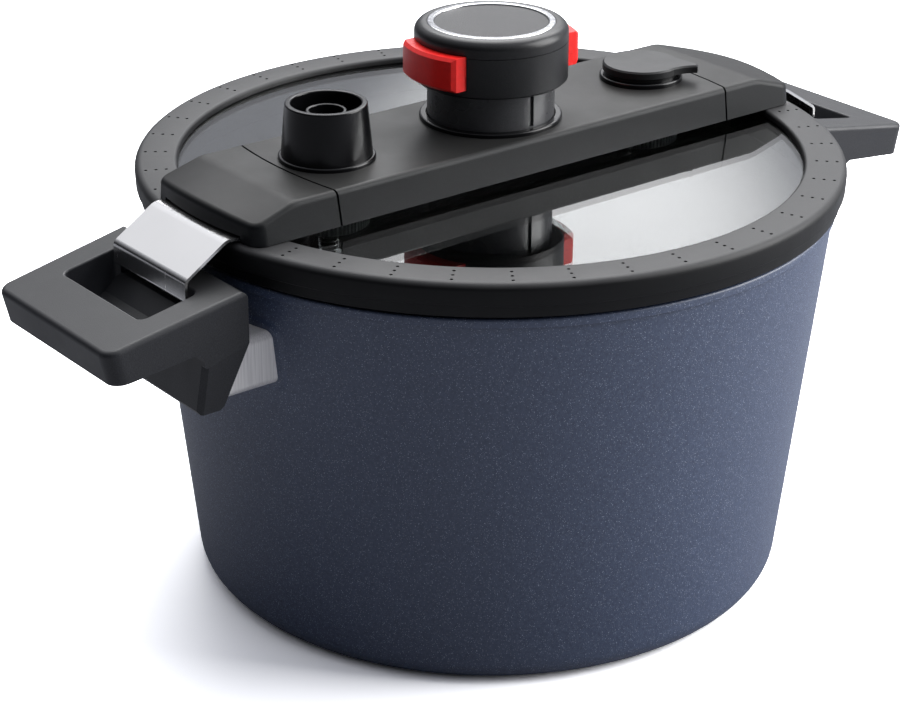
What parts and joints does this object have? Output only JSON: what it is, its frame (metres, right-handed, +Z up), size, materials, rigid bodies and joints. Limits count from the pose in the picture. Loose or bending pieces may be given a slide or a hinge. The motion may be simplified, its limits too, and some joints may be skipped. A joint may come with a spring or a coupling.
{
  "type": "pressure canner",
  "caption": "Low-pressure canning pot with a sealed glass lid, a locking bridge with press knob and side clamps, a regulator cup, a vent lever and two side handles.",
  "frame": {"origin": "centre of the pot's underside, on the surface it stands on", "axes": "+Z up along the pot axis, X along the bridge through both side handles, Y across the bridge"},
  "size_m": [0.3652, 0.2558, 0.2065],
  "materials": {
    "coated_aluminium": "satin speckled non-stick coating",
    "induction_steel": "brushed",
    "brushed_steel": "brushed",
    "handle_plastic": "fine texture",
    "screw_steel": "satin",
    "lid_glass": "clear",
    "silicone": "matte",
    "bridge_plastic": "fine texture",
    "clip_steel": "satin polished",
    "knob_plastic": "satin",
    "gloss_black": "satin gloss",
    "chrome_trim": "polished",
    "textured_disc": "fine grain",
    "red_plastic": "gloss",
    "spring_steel": "drawn wire"
  },
  "bodies": {
    "pot": {"pot_body": "coated_aluminium", "induction_base": "induction_steel", "handle_ferrule_left": "brushed_steel", "handle_ferrule_right": "brushed_steel", "handle_bracket_left": "brushed_steel", "handle_bracket_right": "brushed_steel", "side_handle_left": "handle_plastic", "side_handle_right": "handle_plastic", "handle_screws": "screw_steel", "handle_washers": "screw_steel"},
    "lid": {"lid_glass": "lid_glass", "rim_seal": "silicone", "bridge_cover": "bridge_plastic", "end_cap_left": "bridge_plastic", "end_cap_right": "bridge_plastic", "bridge_base": "clip_steel", "bridge_screws": "screw_steel", "end_cap_screws": "screw_steel", "knob_column": "knob_plastic", "column_screws": "screw_steel", "column_collar": "gloss_black", "return_spring_seat": "knob_plastic", "regulator_nut": "knob_plastic", "regulator_gasket": "silicone", "regulator_spacer": "silicone", "vent_nut": "knob_plastic", "vent_gasket": "silicone", "vent_spacer": "silicone", "regulator_base_ring": "gloss_black", "regulator_cup": "gloss_black", "vent_body": "gloss_black", "knob_return_spring": "spring_steel", "indicator_spring": "spring_steel"},
    "knob": {"knob_head": "knob_plastic", "knob_cap": "knob_plastic", "trim_ring": "chrome_trim", "emblem_disc": "textured_disc", "knob_plunger": "knob_plastic", "knob_screws": "screw_steel", "button_spring_left": "spring_steel", "button_spring_right": "spring_steel"},
    "release_button_left": {"release_button_left": "red_plastic"},
    "release_button_right": {"release_button_right": "red_plastic"},
    "clamp_left": {"clamp_left": "clip_steel", "cam_arm_left": "clip_steel", "cam_rivets_left": "screw_steel"},
    "clamp_right": {"clamp_right": "clip_steel", "cam_arm_right": "clip_steel", "cam_rivets_right": "screw_steel"},
    "vent_lever": {"vent_lever": "gloss_black", "vent_spindle": "screw_steel", "vent_valve_disc": "silicone", "lever_screw": "screw_steel"},
    "pressure_indicator": {"indicator_piston": "gloss_black", "indicator_clip": "screw_steel"}
  },
  "joints": [
    {"name": "lid_lift", "type": "slide", "parent": "pot", "child": "lid", "axis": [0, 0, 1], "range_m": [0, 0.1]},
    {"name": "knob_press", "type": "slide", "parent": "lid", "child": "knob", "axis": [0, 0, -1], "range_m": [0, 0.01], "stiffness_N_per_m": 600, "springref_m": -0.01, "deforming": ["knob_return_spring"]},
    {"name": "release_button_left_press", "type": "slide", "parent": "knob", "child": "release_button_left", "axis": [1, 0, 0], "range_m": [0, 0.0025], "stiffness_N_per_m": 400, "springref_m": -0.001, "deforming": ["button_spring_left"]},
    {"name": "release_button_right_press", "type": "slide", "parent": "knob", "child": "release_button_right", "axis": [-1, 0, 0], "range_m": [0, 0.0025], "stiffness_N_per_m": 400, "springref_m": -0.001, "deforming": ["button_spring_right"]},
    {"name": "clamp_left_slide", "type": "slide", "parent": "lid", "child": "clamp_left", "axis": [1, 0, 0], "range_m": [0, 0.002]},
    {"name": "clamp_right_slide", "type": "slide", "parent": "lid", "child": "clamp_right", "axis": [-1, 0, 0], "range_m": [0, 0.002]},
    {"name": "vent_lever_swivel", "type": "hinge", "parent": "lid", "child": "vent_lever", "pos_m": [0.0725, 0, 0.1742], "axis": [0, 0, 1], "range_deg": [0, 100]},
    {"name": "pressure_indicator_rise", "type": "slide", "parent": "lid", "child": "pressure_indicator", "axis": [0, 0, 1], "range_m": [0, 0.004], "stiffness_N_per_m": 200, "springref_m": -0.001, "deforming": ["indicator_spring"]}
  ],
  "couplings": [
    {"joint": "clamp_left_slide", "follows": "knob_press", "ratio": 0.2},
    {"joint": "clamp_right_slide", "follows": "knob_press", "ratio": 0.2}
  ]
}
